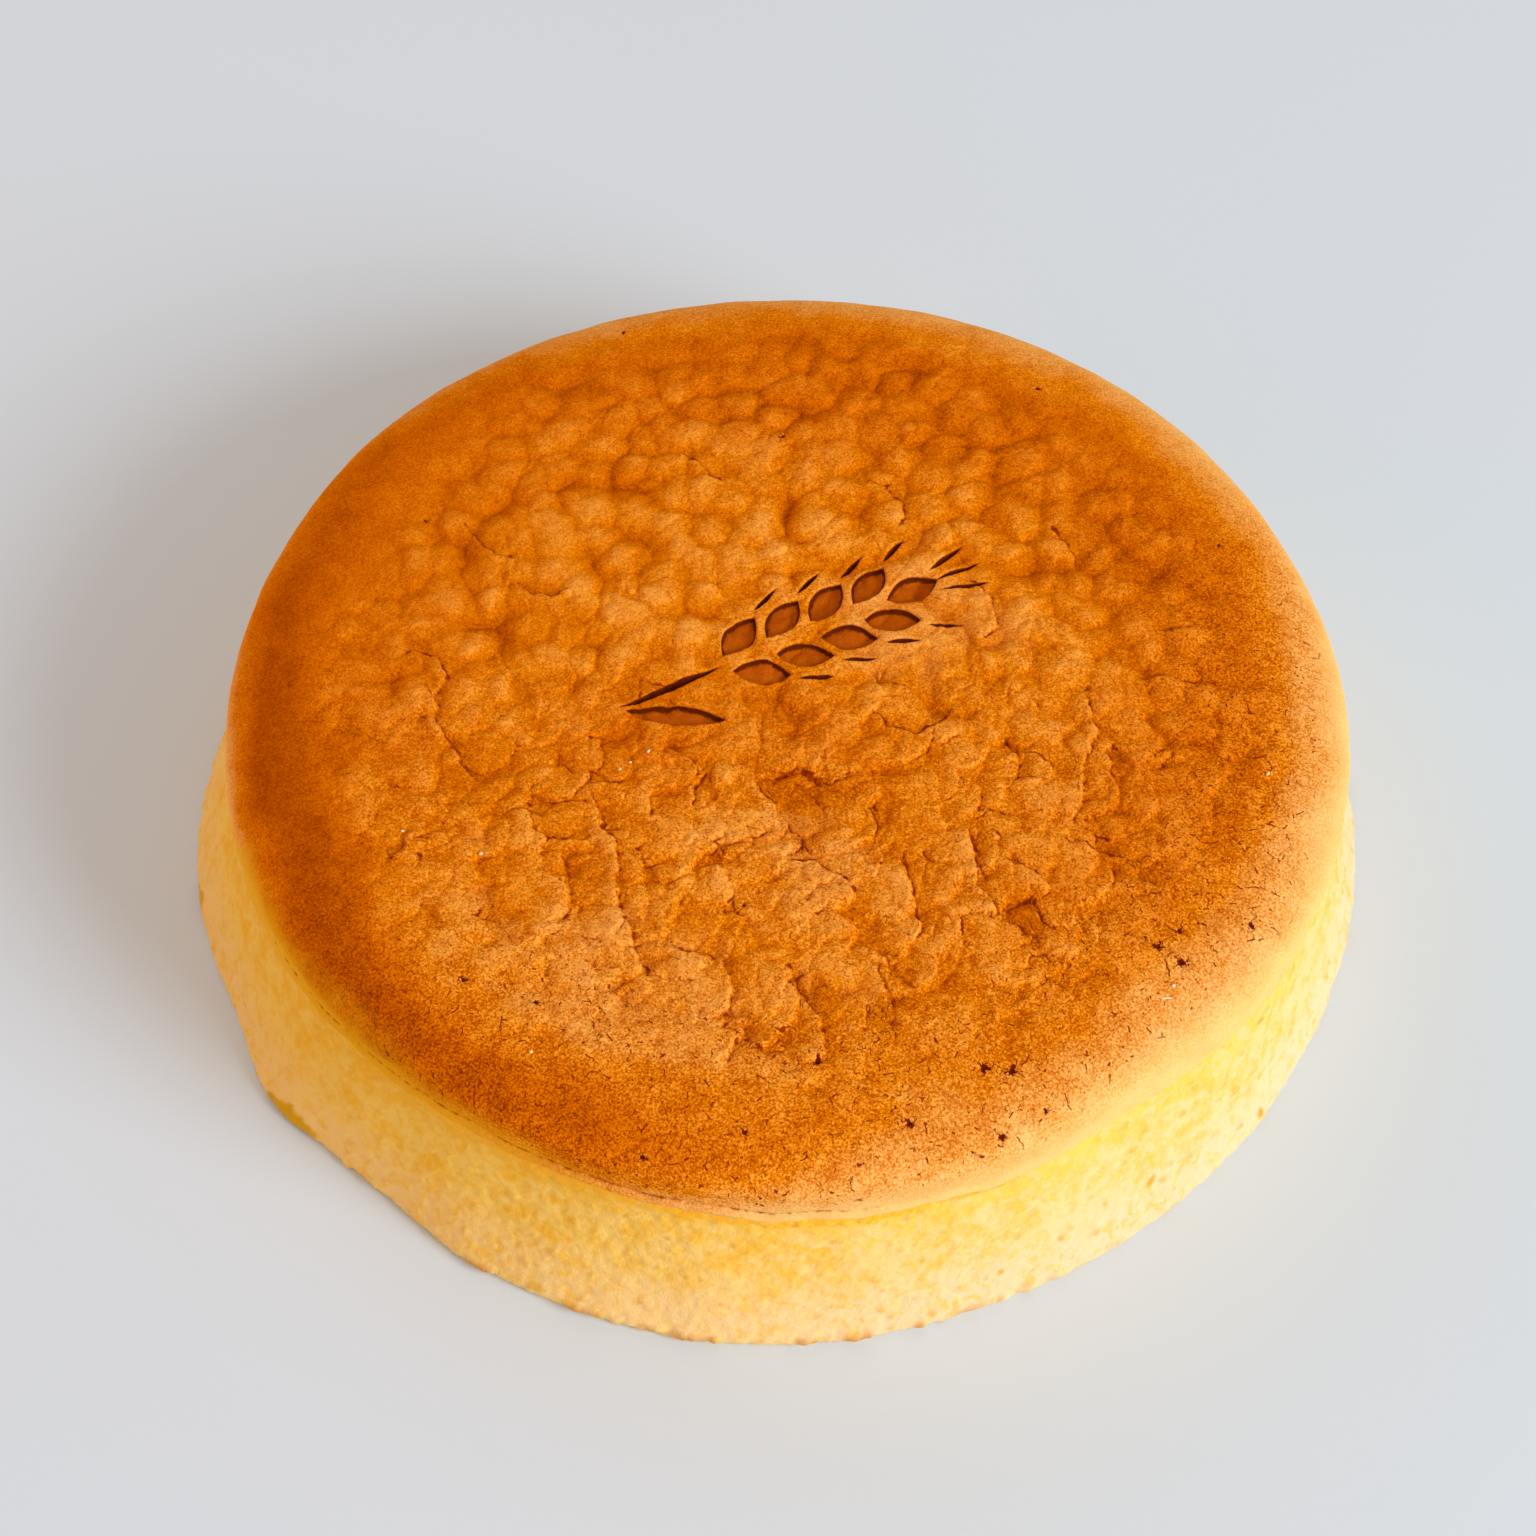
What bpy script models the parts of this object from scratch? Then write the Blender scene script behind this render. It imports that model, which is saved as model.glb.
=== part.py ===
"""Round soft cheesecake, whole and uncut, as one solid.

Units are metres and +Z is up.  The cake rests on its flat bottom at Z = 0.
The sponge side leans in to a crease, and the browned crust bulges over it as
a lip, turns over a rounded shoulder and ends in a gently cobbled top, which
has a shallow ear of grain pressed into it.
"""
import math

import bmesh
import bpy
from mathutils import Matrix, Vector, noise

# Radii, from the foot of the sponge to the top of the crust.
BASE_RADIUS = 0.1000
NECK_RADIUS = 0.0912
LIP_RADIUS = 0.0925
CRUST_RADIUS = 0.0930
TOP_RADIUS = 0.0780

# Heights above the surface that the cake rests on.
FOOT_HEIGHT = 0.0018
NECK_HEIGHT = 0.0264
LIP_HEIGHT = 0.0270
BULGE_HEIGHT = 0.0350
RIM_HEIGHT = 0.0415
TOP_RISE = 0.0006

# How far the rounded foot tucks in, and how hollow the sponge side is.
FOOT_TUCK = 0.0009
SIDE_HOLLOW = 0.0008

# Unevenness of the outline: the foot has slumped a little to one side, slow
# waves as (count, size, shift) run all round, and the foot and the crust swell
# or shrink in places, as (degrees, width in degrees, size).
FOOT_SLUMP = (-0.0016, 0.0008)
OUTLINE_WAVES = ((2, 0.0002, 0.4), (3, 0.0002, 2.1), (5, 0.0002, 1.2))
FOOT_SWELLS = (
    (180, 14, 0.0011),
    (-156, 7, -0.0012),
    (-146, 6, 0.0012),
    (-132, 8, -0.0018),
    (-94, 18, 0.0017),
    (-28, 12, -0.0007),
    (3, 10, 0.0008),
    (70, 22, 0.0006),
)
CRUST_SWELLS = (
    (-122, 12, -0.0006),
    (-88, 14, 0.0008),
    (-53, 9, -0.0016),
    (-26, 10, 0.0009),
    (20, 14, -0.0004),
    (138, 20, 0.0009),
)

# Cobbles and slow swells of the baked top.
COBBLE_SIZE = 0.0105
COBBLE_HEIGHT = 0.0007
SWELL_SIZE = 0.045
SWELL_HEIGHT = 0.0006

# The pressed ear of grain: where it lies, and the size of its pieces.
MARK_CENTRE = (0.0, 0.008)
MARK_TURN = math.radians(28)
MARK_DEPTH = 0.0011
GRAIN_LENGTH = 0.0098
GRAIN_WIDTH = 0.0052
GRAIN_SPLAY = math.radians(30)
GRAIN_OFFSET = 0.0042
GRAIN_PAIRS = 4
GRAIN_PITCH = 0.0082
EAR_START = -0.0070
STEM_LENGTH = 0.0200
STEM_WIDTH = 0.0018
LEAF_LENGTH = 0.0170
LEAF_WIDTH = 0.0042
LEAF_SPLAY = math.radians(-34)
TOOL_HEIGHT = 0.010

# Mesh fineness.
TOP_RINGS = 22
RING_STEP = 6
SEGMENTS = RING_STEP * TOP_RINGS
SIDE_ROWS = 7
LIP_ROWS = 3
SHOULDER_ROWS = 6
GRAIN_SIDES = 14


def clear_scene():
    """Remove every object that the file opened with."""
    for obj in list(bpy.data.objects):
        bpy.data.objects.remove(obj, do_unlink=True)


def swelling(angle, swells):
    """Sum of the smooth local swellings at an angle, in metres."""
    total = 0.0
    for middle, width, size in swells:
        away = math.remainder(angle - math.radians(middle), 2.0 * math.pi)
        total += size * math.exp(-(away / math.radians(width)) ** 2)
    return total


def outline(angle, foot):
    """Unevenness of the outline at an angle; foot is 1 on the floor and 0 at the crust."""
    waves = sum(size * math.cos(count * angle + shift) for count, size, shift in OUTLINE_WAVES)
    spread = foot ** 2
    return waves + spread * swelling(angle, FOOT_SWELLS) + (1.0 - spread) * swelling(angle, CRUST_SWELLS)


def top_height(x, y):
    """Height of the cobbled top at a place, before the shoulder turns down."""
    reach = math.hypot(x, y) / TOP_RADIUS
    dome = TOP_RISE * (1.0 - reach ** 2)
    swell = SWELL_HEIGHT * noise.noise(Vector((x, y, 0.0)) / SWELL_SIZE)
    nearest = noise.voronoi(Vector((x, y, 0.0)) / COBBLE_SIZE)[0][0]
    cobble = COBBLE_HEIGHT * (0.5 - nearest) * (1.0 - reach ** 4)
    return RIM_HEIGHT + dome + swell + cobble


def side_rows():
    """Radius and height of the sponge side's rows, from the floor to the neck."""
    rows = [(BASE_RADIUS - FOOT_TUCK, 0.0)]
    for row in range(SIDE_ROWS + 1):
        part = row / SIDE_ROWS
        lean = BASE_RADIUS + (NECK_RADIUS - BASE_RADIUS) * part
        hollow = SIDE_HOLLOW * math.sin(math.pi * part)
        rows.append((lean - hollow, FOOT_HEIGHT + (NECK_HEIGHT - FOOT_HEIGHT) * part))
    return rows


def crust_rows():
    """Radius and height of the crust's rows, from the lip up to the top's edge."""
    rows = []
    for row in range(LIP_ROWS):
        turn = 0.5 * math.pi * row / LIP_ROWS
        radius = LIP_RADIUS + (CRUST_RADIUS - LIP_RADIUS) * math.sin(turn)
        height = BULGE_HEIGHT - (BULGE_HEIGHT - LIP_HEIGHT) * math.cos(turn)
        rows.append((radius, height))
    for row in range(SHOULDER_ROWS):
        turn = 0.5 * math.pi * row / SHOULDER_ROWS
        radius = TOP_RADIUS + (CRUST_RADIUS - TOP_RADIUS) * math.cos(turn)
        height = BULGE_HEIGHT + (RIM_HEIGHT - BULGE_HEIGHT) * math.sin(turn)
        rows.append((radius, height))
    return rows


def add_ring(bm, radius, height, count):
    """Add a ring of vertices that follows the uneven outline."""
    ring = []
    foot = max(0.0, 1.0 - height / NECK_HEIGHT)
    for index in range(count):
        angle = 2.0 * math.pi * index / count
        reach = radius + outline(angle, foot) * min(1.0, radius / CRUST_RADIUS)
        x = reach * math.cos(angle) + FOOT_SLUMP[0] * foot
        y = reach * math.sin(angle) + FOOT_SLUMP[1] * foot
        ring.append(bm.verts.new((x, y, height)))
    return ring


def bridge(bm, lower, upper):
    """Join two rings of equal count with quads that face outwards."""
    count = len(lower)
    for index in range(count):
        after = (index + 1) % count
        bm.faces.new((lower[index], lower[after], upper[after], upper[index]))


def join_growing(bm, inner, outer):
    """Join a ring to the next one out, which has one more vertex in each sector."""
    steps = len(inner) // RING_STEP
    for sector in range(RING_STEP):
        for step in range(steps + 1):
            low = sector * (steps + 1) + step
            near = inner[(sector * steps + step) % len(inner)]
            bm.faces.new((near, outer[low], outer[(low + 1) % len(outer)]))
            if step < steps:
                beyond = inner[(sector * steps + step + 1) % len(inner)]
                bm.faces.new((near, outer[(low + 1) % len(outer)], beyond))


def add_top(bm, edge):
    """Fill the crust's top with rings that each have six vertices more."""
    centre = bm.verts.new((0.0, 0.0, top_height(0.0, 0.0)))
    inner = None
    for number in range(1, TOP_RINGS + 1):
        count = RING_STEP * number
        ring = edge
        if number < TOP_RINGS:
            ring = add_ring(bm, TOP_RADIUS * number / TOP_RINGS, RIM_HEIGHT, count)
        for vert in ring:
            vert.co.z = top_height(vert.co.x, vert.co.y)
        if inner is None:
            for index in range(count):
                bm.faces.new((centre, ring[index], ring[(index + 1) % count]))
        else:
            join_growing(bm, inner, ring)
        inner = ring


def cake_mesh():
    """Build the closed solid from the flat bottom to the cobbled top."""
    bm = bmesh.new()
    rings = []
    for radius, height in side_rows() + crust_rows():
        rings.append(add_ring(bm, radius, height, SEGMENTS))
    edge = add_ring(bm, TOP_RADIUS, RIM_HEIGHT, SEGMENTS)
    rings.append(edge)
    for lower, upper in zip(rings, rings[1:]):
        bridge(bm, lower, upper)
    add_top(bm, edge)
    bm.faces.new(list(reversed(rings[0])))
    bmesh.ops.recalc_face_normals(bm, faces=bm.faces)
    mesh = bpy.data.meshes.new("cheesecake")
    bm.to_mesh(mesh)
    bm.free()
    return mesh


def centre_over_origin(mesh):
    """Slide the mesh sideways so that its box is centred over the origin."""
    xs = [vert.co.x for vert in mesh.vertices]
    ys = [vert.co.y for vert in mesh.vertices]
    middle = Vector((0.5 * (min(xs) + max(xs)), 0.5 * (min(ys) + max(ys)), 0.0))
    mesh.transform(Matrix.Translation(-middle))


def mark_pieces():
    """Middle, turn, length and width of each pressed piece, along the ear's own axis."""
    pieces = []
    for pair in range(GRAIN_PAIRS):
        along = EAR_START + pair * GRAIN_PITCH
        for side in (-1, 1):
            pieces.append((along, side * GRAIN_OFFSET, side * GRAIN_SPLAY, GRAIN_LENGTH, GRAIN_WIDTH))
    tip = EAR_START + GRAIN_PAIRS * GRAIN_PITCH - 0.5 * GRAIN_OFFSET
    pieces.append((tip, 0.0, 0.0, GRAIN_LENGTH, GRAIN_WIDTH))
    stem_end = EAR_START - 0.5 * GRAIN_LENGTH
    pieces.append((stem_end - 0.5 * STEM_LENGTH, 0.0, 0.0, STEM_LENGTH, STEM_WIDTH))
    leaf_reach = 0.5 * LEAF_LENGTH + STEM_WIDTH
    leaf_along = stem_end - STEM_LENGTH + leaf_reach * math.cos(LEAF_SPLAY)
    pieces.append((leaf_along, leaf_reach * math.sin(LEAF_SPLAY), LEAF_SPLAY, LEAF_LENGTH, LEAF_WIDTH))
    return pieces


def add_pointed_prism(bm, along, across, turn, length, width):
    """Add an upright prism with a pointed oval plan, ready to cut one pressed piece."""
    place = Matrix.Translation((*MARK_CENTRE, 0.0)) @ Matrix.Rotation(MARK_TURN, 4, "Z")
    place @= Matrix.Translation((along, across, 0.0)) @ Matrix.Rotation(turn, 4, "Z")
    middle = place @ Vector((0.0, 0.0, 0.0))
    floor = top_height(middle.x, middle.y) - MARK_DEPTH
    plan = []
    for side in (-1, 1):
        for step in range(GRAIN_SIDES // 2):
            reach = 2.0 * step / (GRAIN_SIDES // 2) - 1.0
            plan.append(Vector((-side * reach * 0.5 * length, side * 0.5 * width * (1.0 - reach ** 2), 0.0)))
    low = [bm.verts.new((place @ point) + Vector((0.0, 0.0, floor))) for point in plan]
    high = [bm.verts.new(vert.co + Vector((0.0, 0.0, TOOL_HEIGHT))) for vert in low]
    bridge(bm, low, high)
    bm.faces.new(high)
    bm.faces.new(list(reversed(low)))


def press_mark(cake):
    """Cut the ear of grain into the top of the crust."""
    bm = bmesh.new()
    for piece in mark_pieces():
        add_pointed_prism(bm, *piece)
    bmesh.ops.recalc_face_normals(bm, faces=bm.faces)
    mesh = bpy.data.meshes.new("mark_tool")
    bm.to_mesh(mesh)
    bm.free()
    tool = bpy.data.objects.new("mark_tool", mesh)
    bpy.context.collection.objects.link(tool)
    cut = cake.modifiers.new("mark", "BOOLEAN")
    cut.operation = "DIFFERENCE"
    cut.solver = "EXACT"
    cut.object = tool
    bpy.context.view_layer.update()
    pressed = cake.evaluated_get(bpy.context.evaluated_depsgraph_get())
    result = bpy.data.meshes.new_from_object(pressed)
    cake.modifiers.clear()
    cake.data = result
    bpy.data.objects.remove(tool, do_unlink=True)


def crust_material():
    """Soft brown of the baked crust."""
    material = bpy.data.materials.new("browned_crust")
    material.use_nodes = True
    shader = material.node_tree.nodes["Principled BSDF"]
    shader.inputs["Base Color"].default_value = (0.55, 0.21, 0.045, 1.0)
    shader.inputs["Roughness"].default_value = 0.6
    shader.inputs["Metallic"].default_value = 0.0
    return material


def build():
    """Make the whole cake."""
    clear_scene()
    mesh = cake_mesh()
    centre_over_origin(mesh)
    mesh.materials.append(crust_material())
    cake = bpy.data.objects.new("cheesecake", mesh)
    bpy.context.collection.objects.link(cake)
    press_mark(cake)


build()
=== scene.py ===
import math

import bpy
import numpy as np
from mathutils import Matrix, Vector


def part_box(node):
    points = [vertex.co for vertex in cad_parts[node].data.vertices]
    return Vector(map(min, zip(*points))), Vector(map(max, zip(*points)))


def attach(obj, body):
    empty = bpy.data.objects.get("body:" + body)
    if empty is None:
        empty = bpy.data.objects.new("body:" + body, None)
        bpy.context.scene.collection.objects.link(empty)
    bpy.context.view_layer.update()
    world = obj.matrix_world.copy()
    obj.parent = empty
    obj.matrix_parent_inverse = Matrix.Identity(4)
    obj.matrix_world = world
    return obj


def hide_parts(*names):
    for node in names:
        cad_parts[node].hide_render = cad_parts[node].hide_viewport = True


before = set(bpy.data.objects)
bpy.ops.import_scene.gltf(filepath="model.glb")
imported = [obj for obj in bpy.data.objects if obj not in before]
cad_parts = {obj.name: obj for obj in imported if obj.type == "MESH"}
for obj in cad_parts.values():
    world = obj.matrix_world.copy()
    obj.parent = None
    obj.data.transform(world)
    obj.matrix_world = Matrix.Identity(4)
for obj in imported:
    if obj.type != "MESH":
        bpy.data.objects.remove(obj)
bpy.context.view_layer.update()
cakeLow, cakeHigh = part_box("cheesecake")

mm = 0.001
farAway = 1e9
outOfReach = 99.0

# The cake's own form: radii and heights in mm, measured from the crust's middle.
form = {
    "topRadius": 78.0,
    "rimHeight": 41.5,
    "topRise": 0.6,
    "crustRadius": 93.0,
    "bulgeHeight": 35.0,
    "lipRadius": 92.6,
    "lipHeight": 27.4,
    "lipCurl": 0.7,
    "tuckRadius": 89.5,
    "neckRadius": 91.5,
    "neckHeight": 26.6,
    "footRadius": 100.0,
    "footHeight": 1.8,
    "footTuck": 0.9,
    "sideHollow": 0.8,
    "topSteps": 60,
    "shoulderSteps": 40,
    "curlSteps": 8,
    "sideSteps": 30,
    # how far the foot slid from under the crust, in mm
    "slump": (-1.6, 0.8),
    # waves in the outline: how many all round, size in mm, turn
    "waves": ((2, 0.2, 0.4), (3, 0.2, 2.1), (5, 0.2, 1.2)),
    # broad swellings of the foot and of the crust: degrees, half width in degrees, mm
    "footSwells": (
        (180, 14, 1.1), (-156, 7, -1.2), (-146, 6, 1.2), (-132, 8, -1.8),
        (-94, 18, 1.7), (-28, 12, -0.7), (3, 10, 0.8), (70, 22, 0.6),
    ),
    "crustSwells": (
        (-122, 12, -0.6), (-88, 14, 0.8), (-53, 9, -1.6), (-26, 10, 0.3),
        (20, 14, -0.4), (138, 20, 0.9),
    ),
}


# small tools for uneven surfaces
def smooth(low, high, value):
    part = np.clip((value - low) / (high - low), 0.0, 1.0)
    return part * part * (3.0 - 2.0 * part)


def mix(one, other, part):
    return one + (other - one) * part


def bell(value, width):
    return np.exp(-(value / width) ** 2)


def facing(angle, degrees):
    # 1 where the angle points that way, -1 where it points away
    return np.cos(angle - math.radians(degrees))


def turnFrom(angle, degrees):
    # the shorter way round, in radians
    return np.remainder(angle - math.radians(degrees) + math.pi, 2.0 * math.pi) - math.pi


def nearer(closer, fresh, kept):
    return [np.where(closer, new, old) for new, old in zip(fresh, kept)]


def chance(ix, iy, seed):
    # a steady random number from 0 to 1 for every whole-number place: large odd numbers mix the bits
    key = ix.astype(np.int64) * 374761393 + iy.astype(np.int64) * 668265263 + seed * 974634777
    key = (key ^ (key >> 13)) & 0xFFFFFFFF
    key = (key * 1274126177) & 0xFFFFFFFF
    key = (key ^ (key >> 16)) & 0xFFFFFFFF
    key = (key * 2246822519) & 0xFFFFFFFF
    return ((key ^ (key >> 15)) & 0xFFFFFFFF) / 4294967296.0


def ripple(x, y, seed):
    # gradient noise, about -0.7 to 0.7, one wave per unit
    ix = np.floor(x)
    iy = np.floor(y)
    fx = x - ix
    fy = y - iy
    total = np.zeros_like(x)
    for dx in (0, 1):
        for dy in (0, 1):
            turn = chance(ix + dx, iy + dy, seed) * 2.0 * math.pi
            slope = np.cos(turn) * (fx - dx) + np.sin(turn) * (fy - dy)
            ax = 1.0 - np.abs(fx - dx)
            ay = 1.0 - np.abs(fy - dy)
            fadeX = ax ** 3 * (ax * (ax * 6 - 15) + 10)
            fadeY = ay ** 3 * (ay * (ay * 6 - 15) + 10)
            total += slope * fadeX * fadeY
    return total * 1.4


def rough(x, y, size, seed, layers=3, fade=0.5):
    # layered gradient noise whose largest waves are size mm long; every use has a seed of its own
    total = np.zeros_like(x)
    strength = 1.0
    for layer in range(layers):
        scale = 2.0 ** layer / size
        total += strength * ripple(x * scale + 17.3 * layer, y * scale - 9.1 * layer, seed + layer)
        strength *= fade
    return total


def wander(x, size, seed, layers=2):
    # layered noise along one line
    return rough(x, np.zeros_like(x), size, seed, layers)


def scattered(x, y, size, seed, jitter=0.9):
    # offsets from every near scattered middle, and the numbers of its cell
    gx = np.floor(x / size)
    gy = np.floor(y / size)
    for dx in (-1, 0, 1):
        for dy in (-1, 0, 1):
            ix = gx + dx
            iy = gy + dy
            px = x - (ix + 0.5 + jitter * (chance(ix, iy, seed) - 0.5)) * size
            py = y - (iy + 0.5 + jitter * (chance(ix, iy, seed + 1) - 0.5)) * size
            yield px, py, ix, iy


def nearestCell(x, y, size, seed):
    # distance to the nearest scattered middle, and the numbers of its cell
    kept = (np.full(x.shape, farAway), np.zeros_like(x), np.zeros_like(x))
    for px, py, ix, iy in scattered(x, y, size, seed, 0.85):
        away = np.hypot(px, py)
        kept = nearer(away < kept[0], (away, ix, iy), kept)
    return kept


# outline and profile shared by the crust and the sponge
def swelling(angle, swells):
    total = np.zeros_like(angle)
    for middle, width, size in swells:
        total += size * bell(turnFrom(angle, middle), math.radians(width))
    return total


def outline(angle, foot):
    total = sum(size * np.cos(count * angle + shift) for count, size, shift in form["waves"])
    spread = foot ** 2
    total += spread * swelling(angle, form["footSwells"])
    return total + (1.0 - spread) * swelling(angle, form["crustSwells"])


def runAlong(points):
    # how far along a bent line each of its points lies
    return np.concatenate([[0.0], np.cumsum(np.hypot(*np.diff(np.array(points), axis=0).T))])


def walk(points, places):
    # radius, height and outward normal at some places along a bent line
    points = np.array(points, float)
    run = runAlong(points)
    radius = np.interp(places, run, points[:, 0])
    height = np.interp(places, run, points[:, 1])
    reach = 0.35
    ahead = np.minimum(places + reach, run[-1])
    back = np.maximum(places - reach, 0.0)
    dr = np.interp(ahead, run, points[:, 0]) - np.interp(back, run, points[:, 0])
    dz = np.interp(ahead, run, points[:, 1]) - np.interp(back, run, points[:, 1])
    size = np.maximum(np.hypot(dr, dz), 1e-9)
    return radius, height, -dz / size, dr / size


def crustLine():
    # the crust's section from the middle of the top, over the shoulder, to the tucked-in lip
    f = form
    radii = np.linspace(0.0, f["topRadius"], f["topSteps"])
    line = [(r, f["rimHeight"] + f["topRise"] * (1.0 - (r / f["topRadius"]) ** 2)) for r in radii]
    for turn in np.linspace(0.0, 0.5 * math.pi, f["shoulderSteps"])[1:]:
        r = f["topRadius"] + (f["crustRadius"] - f["topRadius"]) * math.sin(turn)
        z = f["bulgeHeight"] + (f["rimHeight"] - f["bulgeHeight"]) * math.cos(turn)
        line.append((r, z + f["topRise"] * (1.0 - (r / f["topRadius"]) ** 2) * math.cos(turn)))
    curl = f["lipCurl"]
    line.append((f["lipRadius"], f["lipHeight"] + 2.0 * curl))
    for turn in np.linspace(0.0, 0.5 * math.pi, f["curlSteps"])[1:]:
        r = f["lipRadius"] - curl + curl * math.cos(turn)
        line.append((r, f["lipHeight"] + curl - curl * math.sin(turn)))
    line.append((f["tuckRadius"], f["lipHeight"] + 0.5 * curl))
    return line


def spongeLine():
    # the sponge's section from under the lip, down the flared side, to the flat underside
    f = form
    line = [
        (f["tuckRadius"] - 2.0, f["neckHeight"] + 1.6),
        (f["neckRadius"] - 0.9, f["neckHeight"] + 1.1),
    ]
    for part in np.linspace(0.0, 1.0, f["sideSteps"]):
        lean = mix(f["neckRadius"], f["footRadius"], part) - f["sideHollow"] * math.sin(math.pi * part)
        line.append((lean, mix(f["neckHeight"], f["footHeight"], part)))
    for turn in np.linspace(0.0, 0.5 * math.pi, f["curlSteps"])[1:]:
        r = f["footRadius"] - f["footTuck"] * (1.0 - math.cos(turn))
        line.append((r, f["footHeight"] * (1.0 - math.sin(turn))))
    return line


# meshes from arrays
def makeMesh(name, points, triangles, normals=None, values=None):
    mesh = bpy.data.meshes.new(name)
    mesh.vertices.add(len(points))
    mesh.vertices.foreach_set("co", (np.asarray(points) * mm).astype(np.float32).ravel())
    count = len(triangles)
    mesh.loops.add(count * 3)
    mesh.loops.foreach_set("vertex_index", np.asarray(triangles, np.int32).ravel())
    mesh.polygons.add(count)
    mesh.polygons.foreach_set("loop_start", np.arange(0, count * 3, 3, dtype=np.int32))
    mesh.update(calc_edges=True)
    mesh.polygons.foreach_set("use_smooth", np.ones(count, bool))
    for key, value in (values or {}).items():
        layer = mesh.attributes.new(key, "FLOAT", "POINT")
        layer.data.foreach_set("value", np.asarray(value, np.float32))
    if normals is not None:
        mesh.normals_split_custom_set_from_vertices(normals)
    mesh.validate()
    piece = bpy.data.objects.new(name, mesh)
    bpy.context.collection.objects.link(piece)
    return piece


def strip(lower, upper):
    # triangles between two closed rings of equal count; upper lies to the left when walking round
    after = np.roll(np.arange(len(lower)), -1)
    one = np.stack([lower, lower[after], upper[after]], 1)
    two = np.stack([lower, upper[after], upper], 1)
    return np.concatenate([one, two])


sectors = 6


def growing(inner, outer):
    # triangles from a ring to the next ring out, which has one point more in each sector
    steps = len(inner) // sectors
    low = np.arange(len(outer))
    sector = low // (steps + 1)
    step = low % (steps + 1)
    near = inner[(sector * steps + step) % len(inner)]
    after = outer[(low + 1) % len(outer)]
    one = np.stack([near, outer, after], 1)
    keep = step < steps
    beyond = inner[(sector * steps + step + 1) % len(inner)]
    two = np.stack([near, after, beyond], 1)[keep]
    return np.concatenate([one, two])


def pointNormals(points, triangles):
    a, b, c = (points[triangles[:, k]] for k in range(3))
    face = np.cross(b - a, c - a)
    total = np.zeros_like(points)
    for k in range(3):
        for axis in range(3):
            total[:, axis] += np.bincount(triangles[:, k], face[:, axis], len(points))
    return total / np.maximum(np.linalg.norm(total, axis=1, keepdims=True), 1e-12)


# the ear of grain pressed into the top
markDesign = {
    "middle": (0.0, 8.0),
    "turn": 28.0,
    "depth": 1.1,
    "grainLength": 9.8,
    "grainWidth": 5.2,
    "grainSplay": 30.0,
    "grainOffset": 4.2,
    "pairs": 4,
    "pitch": 8.2,
    "earStart": -7.0,
    "stemLength": 20.0,
    "stemWidth": 1.5,
    "leafLength": 17.0,
    "leafWidth": 4.2,
    "leafSplay": -34.0,
    "awnLength": 9.0,
    "awnWidth": 1.0,
    "awnSplay": 18.0,
    "awnOverlap": 0.6,
    "awnFan": 1.25,
    # the short awns beside the grains: along, out from the grains, turn and length
    "sideAwn": (2.6, 5.0, 24.0, 6.5),
    "wallWidth": 0.45,
}


def markPieces():
    # along, across, turn, length, width, and 1 for a thin burnt stroke
    m = markDesign
    pieces = []
    for pair in range(m["pairs"]):
        along = m["earStart"] + pair * m["pitch"]
        for side in (-1, 1):
            turn = side * m["grainSplay"]
            pieces.append((along, side * m["grainOffset"], turn, m["grainLength"], m["grainWidth"], 0))
    tip = m["earStart"] + m["pairs"] * m["pitch"] - 0.5 * m["grainOffset"]
    pieces.append((tip, 0.0, 0.0, m["grainLength"], m["grainWidth"], 0))
    stemEnd = m["earStart"] - 0.5 * m["grainLength"]
    pieces.append((stemEnd - 0.5 * m["stemLength"], 0.0, 0.0, m["stemLength"], m["stemWidth"], 1))
    for side in (-1, 0, 1):
        lean = math.radians(side * m["awnSplay"])
        reach = 0.5 * (m["grainLength"] + m["awnLength"]) - m["awnOverlap"]
        across = reach * math.sin(lean) * m["awnFan"]
        along = tip + reach * math.cos(lean)
        pieces.append((along, across, side * m["awnSplay"], m["awnLength"], m["awnWidth"], 1))
    ahead, out, turn, length = m["sideAwn"]
    for pair in range(m["pairs"]):
        along = m["earStart"] + pair * m["pitch"] + 0.5 * m["grainLength"]
        for side in (-1, 1):
            across = side * (m["grainOffset"] + out)
            pieces.append((along + ahead, across, side * turn, length, m["awnWidth"], 1))
    reach = 0.5 * m["leafLength"] + m["stemWidth"]
    lean = math.radians(m["leafSplay"])
    along = stemEnd - m["stemLength"] + reach * math.cos(lean)
    across = reach * math.sin(lean)
    pieces.append((along, across, m["leafSplay"], m["leafLength"], m["leafWidth"], 0))
    return pieces


def markAt(x, y):
    # how far inside the nearest pressed piece, in mm, and 1 where that is a thin burnt stroke
    m = markDesign
    turn = math.radians(m["turn"])
    px = x - m["middle"][0]
    py = y - m["middle"][1]
    along = px * math.cos(turn) + py * math.sin(turn)
    across = -px * math.sin(turn) + py * math.cos(turn)
    kept = (np.full(x.shape, -farAway), np.zeros_like(x))
    for pa, pc, lean, length, width, thin in markPieces():
        lean = math.radians(lean)
        du = (along - pa) * math.cos(lean) + (across - pc) * math.sin(lean)
        dv = -(along - pa) * math.sin(lean) + (across - pc) * math.cos(lean)
        su = du / (0.5 * length)
        inside = (1.0 - su * su) * 0.5 * width - np.abs(dv)
        kept = nearer(inside > kept[0], (inside, float(thin)), kept)
    return kept


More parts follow.
